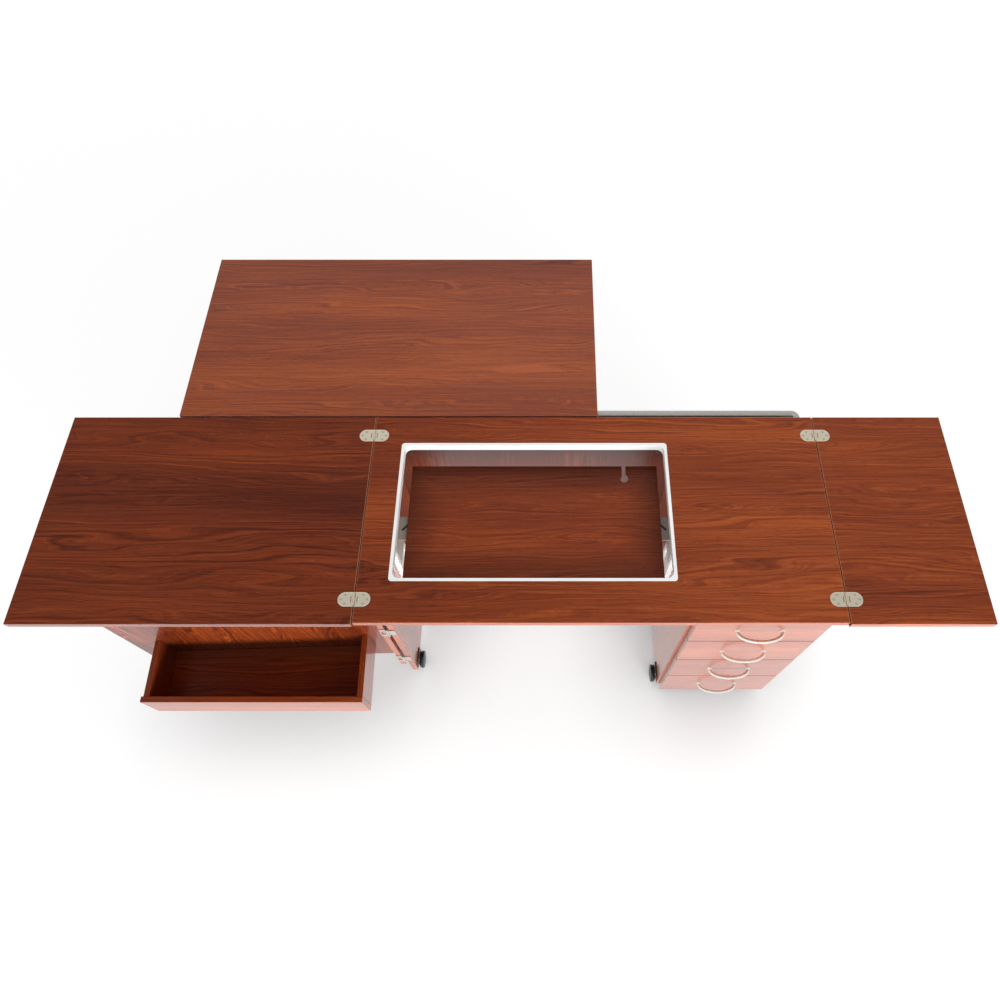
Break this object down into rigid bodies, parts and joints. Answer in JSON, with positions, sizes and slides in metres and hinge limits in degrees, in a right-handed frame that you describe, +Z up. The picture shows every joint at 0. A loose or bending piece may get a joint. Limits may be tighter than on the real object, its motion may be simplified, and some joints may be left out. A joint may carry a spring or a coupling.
{
  "type": "sewing cabinet",
  "caption": "Wood-grain sewing cabinet with fold-over side leaves, a sliding drop leaf, a bin door, a drawer pedestal and a lift platform in a lined machine opening.",
  "frame": {"origin": "floor point under the middle of the whole object's box, as it stands open", "axes": "+X to the right as the sewer sits, +Y to the back, +Z up"},
  "size_m": [2.0835, 1.082, 0.7655],
  "materials": {
    "cherry_melamine": "semi-gloss red-brown wood-grain melamine",
    "drawer_box": "satin dark wood-grain melamine",
    "satin_nickel": "satin nickel plate",
    "white_steel": "white powder coat",
    "taupe_steel": "taupe powder coat",
    "white_abs": "moulded white plastic",
    "grey_tube": "drawn steel tube",
    "black_nylon": "moulded black nylon",
    "white_nylon": "moulded white nylon"
  },
  "bodies": {
    "cabinet": {"centre_top": "cherry_melamine", "opening_liner": "white_abs", "left_support_panel": "cherry_melamine", "pedestal_left_side": "cherry_melamine", "pedestal_right_side": "cherry_melamine", "pedestal_bottom": "cherry_melamine", "back_panel": "cherry_melamine", "quilt_rail": "grey_tube", "lift_rail_left": "white_steel", "lift_rail_right": "white_steel", "left_leaf_hinge_front_fixed": "satin_nickel", "left_leaf_hinge_back_fixed": "satin_nickel", "right_leaf_hinge_front_fixed": "satin_nickel", "right_leaf_hinge_back_fixed": "satin_nickel", "door_hinge_1_fixed": "satin_nickel", "door_hinge_2_fixed": "satin_nickel", "door_hinge_3_fixed": "satin_nickel", "caster_front_left_bracket": "black_nylon", "caster_back_left_bracket": "black_nylon", "caster_front_right_bracket": "black_nylon", "caster_back_right_bracket": "black_nylon"},
    "left_leaf": {"left_leaf": "cherry_melamine", "left_leaf_hinge_front_moving": "satin_nickel", "left_leaf_hinge_back_moving": "satin_nickel"},
    "right_leaf": {"right_leaf": "cherry_melamine", "right_leaf_hinge_front_moving": "satin_nickel", "right_leaf_hinge_back_moving": "satin_nickel"},
    "quilt_glides": {"quilt_glide_1": "white_nylon", "quilt_glide_2": "white_nylon"},
    "quilt_leaf": {"quilt_leaf": "cherry_melamine", "quilt_bracket_1": "satin_nickel", "quilt_bracket_2": "satin_nickel"},
    "door": {"door_panel": "cherry_melamine", "door_hinge_board": "cherry_melamine", "bin_front": "cherry_melamine", "bin_left_side": "cherry_melamine", "bin_right_side": "cherry_melamine", "bin_bottom": "cherry_melamine", "door_hinge_1_moving": "satin_nickel", "door_hinge_2_moving": "satin_nickel", "door_hinge_3_moving": "satin_nickel"},
    "drawer_1": {"drawer_1_front": "cherry_melamine", "drawer_1_box": "drawer_box", "drawer_1_handle": "satin_nickel"},
    "drawer_2": {"drawer_2_front": "cherry_melamine", "drawer_2_box": "drawer_box", "drawer_2_handle": "satin_nickel"},
    "drawer_3": {"drawer_3_front": "cherry_melamine", "drawer_3_box": "drawer_box", "drawer_3_handle": "satin_nickel"},
    "drawer_4": {"drawer_4_front": "cherry_melamine", "drawer_4_box": "drawer_box", "drawer_4_handle": "satin_nickel"},
    "lift": {"machine_platform": "cherry_melamine", "lift_carriage_left": "taupe_steel", "lift_carriage_right": "taupe_steel"},
    "wheel_front_left": {"caster_front_left_wheel": "black_nylon"},
    "wheel_back_left": {"caster_back_left_wheel": "black_nylon"},
    "wheel_front_right": {"caster_front_right_wheel": "black_nylon"},
    "wheel_back_right": {"caster_back_right_wheel": "black_nylon"}
  },
  "joints": [
    {"name": "left_leaf_fold", "type": "hinge", "parent": "cabinet", "child": "left_leaf", "pos_m": [-0.31325, -0.21604, 0.763], "axis": [0, 1, 0], "range_deg": [0, 180]},
    {"name": "right_leaf_fold", "type": "hinge", "parent": "cabinet", "child": "right_leaf", "pos_m": [0.73475, -0.21604, 0.763], "axis": [0, -1, 0], "range_deg": [0, 180]},
    {"name": "quilt_slide", "type": "slide", "parent": "cabinet", "child": "quilt_glides", "axis": [1, 0, 0], "range_m": [0, 0.48]},
    {"name": "quilt_drop", "type": "hinge", "parent": "quilt_glides", "child": "quilt_leaf", "pos_m": [-0.285, 0.06546, 0.729], "axis": [-1, 0, 0], "range_deg": [0, 90]},
    {"name": "door_swing", "type": "hinge", "parent": "cabinet", "child": "door", "pos_m": [-0.30125, -0.39754, 0.4], "axis": [0, 0, 1], "range_deg": [-1.7, 178.3]},
    {"name": "drawer_1_slide", "type": "slide", "parent": "cabinet", "child": "drawer_1", "axis": [0, -1, 0], "range_m": [0, 0.33]},
    {"name": "drawer_2_slide", "type": "slide", "parent": "cabinet", "child": "drawer_2", "axis": [0, -1, 0], "range_m": [0, 0.33]},
    {"name": "drawer_3_slide", "type": "slide", "parent": "cabinet", "child": "drawer_3", "axis": [0, -1, 0], "range_m": [0, 0.33]},
    {"name": "drawer_4_slide", "type": "slide", "parent": "cabinet", "child": "drawer_4", "axis": [0, -1, 0], "range_m": [0, 0.33]},
    {"name": "lift_travel", "type": "slide", "parent": "cabinet", "child": "lift", "axis": [0, 0, 1], "range_m": [-0.258, 0.066]},
    {"name": "wheel_front_left_spin", "type": "hinge", "parent": "cabinet", "child": "wheel_front_left", "pos_m": [-0.27245, -0.35954, 0.025], "axis": [1, 0, 0], "continuous": true},
    {"name": "wheel_back_left_spin", "type": "hinge", "parent": "cabinet", "child": "wheel_back_left", "pos_m": [-0.27245, -0.04654, 0.025], "axis": [1, 0, 0], "continuous": true},
    {"name": "wheel_front_right_spin", "type": "hinge", "parent": "cabinet", "child": "wheel_front_right", "pos_m": [0.40695, -0.40054, 0.025], "axis": [1, 0, 0], "continuous": true},
    {"name": "wheel_back_right_spin", "type": "hinge", "parent": "cabinet", "child": "wheel_back_right", "pos_m": [0.40695, -0.04654, 0.025], "axis": [1, 0, 0], "continuous": true}
  ]
}
